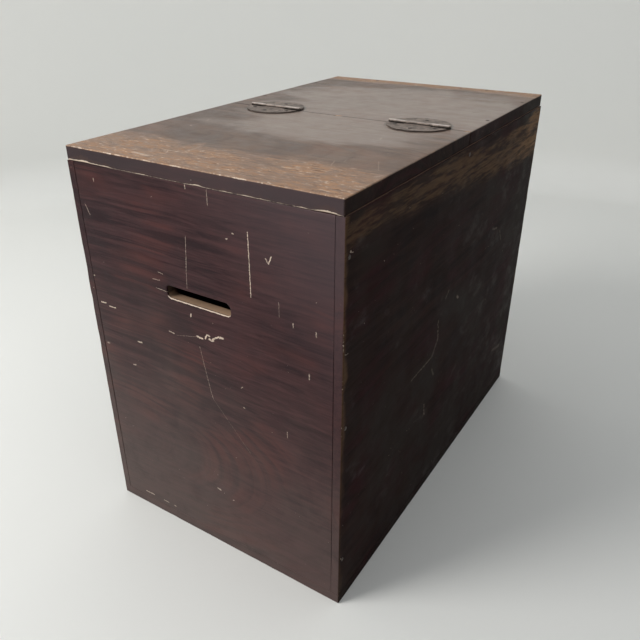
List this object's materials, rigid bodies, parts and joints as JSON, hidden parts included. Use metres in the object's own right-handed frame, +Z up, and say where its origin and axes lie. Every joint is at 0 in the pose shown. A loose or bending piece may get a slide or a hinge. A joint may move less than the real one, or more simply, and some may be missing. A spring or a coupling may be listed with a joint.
{
  "type": "wooden storage box",
  "caption": "Old dark-stained wooden storage box of nailed boards, with a hand slot in each end and a half-length lid on round iron hinges.",
  "frame": {"origin": "centre of the base, on the floor", "axes": "+Z up, +Y along the length from the lid's free edge to the fixed half, +X to the right seen from the slotted near end"},
  "size_m": [0.303, 0.493, 0.4275],
  "materials": {
    "stained_wood": "dark red-brown stain, soft sheen",
    "worn_top_wood": "dark brown stain, rubbed through to brown wood along the edges",
    "bare_wood": "bare, aged, dry",
    "hinge_iron": "dark, lightly rusted, rubbed bright on the barrel",
    "nail_iron": "dark, rusted"
  },
  "bodies": {
    "box": {"bottom_board": "stained_wood", "left_side_panel": "stained_wood", "right_side_panel": "stained_wood", "front_end_panel": "stained_wood", "rear_end_panel": "stained_wood", "fixed_top_board": "worn_top_wood", "seam_rail": "bare_wood", "left_hinge_pin": "hinge_iron", "left_hinge_fixed_leaf": "hinge_iron", "left_hinge_fixed_nail_1": "nail_iron", "left_hinge_fixed_nail_2": "nail_iron", "left_hinge_fixed_nail_3": "nail_iron", "right_hinge_pin": "hinge_iron", "right_hinge_fixed_leaf": "hinge_iron", "right_hinge_fixed_nail_1": "nail_iron", "right_hinge_fixed_nail_2": "nail_iron", "right_hinge_fixed_nail_3": "nail_iron", "left_front_corner_nail_1": "nail_iron", "left_front_corner_nail_2": "nail_iron", "left_front_corner_nail_3": "nail_iron", "left_rear_corner_nail_1": "nail_iron", "left_rear_corner_nail_2": "nail_iron", "left_rear_corner_nail_3": "nail_iron", "right_front_corner_nail_1": "nail_iron", "right_front_corner_nail_2": "nail_iron", "right_front_corner_nail_3": "nail_iron", "right_rear_corner_nail_1": "nail_iron", "right_rear_corner_nail_2": "nail_iron", "right_rear_corner_nail_3": "nail_iron", "fixed_top_left_nail_1": "nail_iron", "bottom_left_nail_1": "nail_iron", "fixed_top_left_nail_2": "nail_iron", "bottom_left_nail_2": "nail_iron", "fixed_top_right_nail_1": "nail_iron", "bottom_right_nail_1": "nail_iron", "fixed_top_right_nail_2": "nail_iron", "bottom_right_nail_2": "nail_iron", "fixed_top_rear_nail_1": "nail_iron", "bottom_front_nail_1": "nail_iron", "bottom_rear_nail_1": "nail_iron", "seam_rail_nail_1": "nail_iron", "fixed_top_rear_nail_2": "nail_iron", "bottom_front_nail_2": "nail_iron", "bottom_rear_nail_2": "nail_iron", "seam_rail_nail_2": "nail_iron"},
    "lid": {"lid_board": "worn_top_wood", "lid_batten_left": "bare_wood", "lid_batten_right": "bare_wood", "left_hinge_lid_leaf": "hinge_iron", "left_hinge_lid_nail_1": "nail_iron", "left_hinge_lid_nail_2": "nail_iron", "left_hinge_lid_nail_3": "nail_iron", "right_hinge_lid_leaf": "hinge_iron", "right_hinge_lid_nail_1": "nail_iron", "right_hinge_lid_nail_2": "nail_iron", "right_hinge_lid_nail_3": "nail_iron", "lid_batten_left_nail_1": "nail_iron", "lid_batten_left_nail_2": "nail_iron", "lid_batten_right_nail_1": "nail_iron", "lid_batten_right_nail_2": "nail_iron"}
  },
  "joints": [
    {"name": "lid_hinge", "type": "hinge", "parent": "box", "child": "lid", "pos_m": [0, -0.0005, 0.4258], "axis": [-1, 0, 0], "range_deg": [0, 180]}
  ]
}
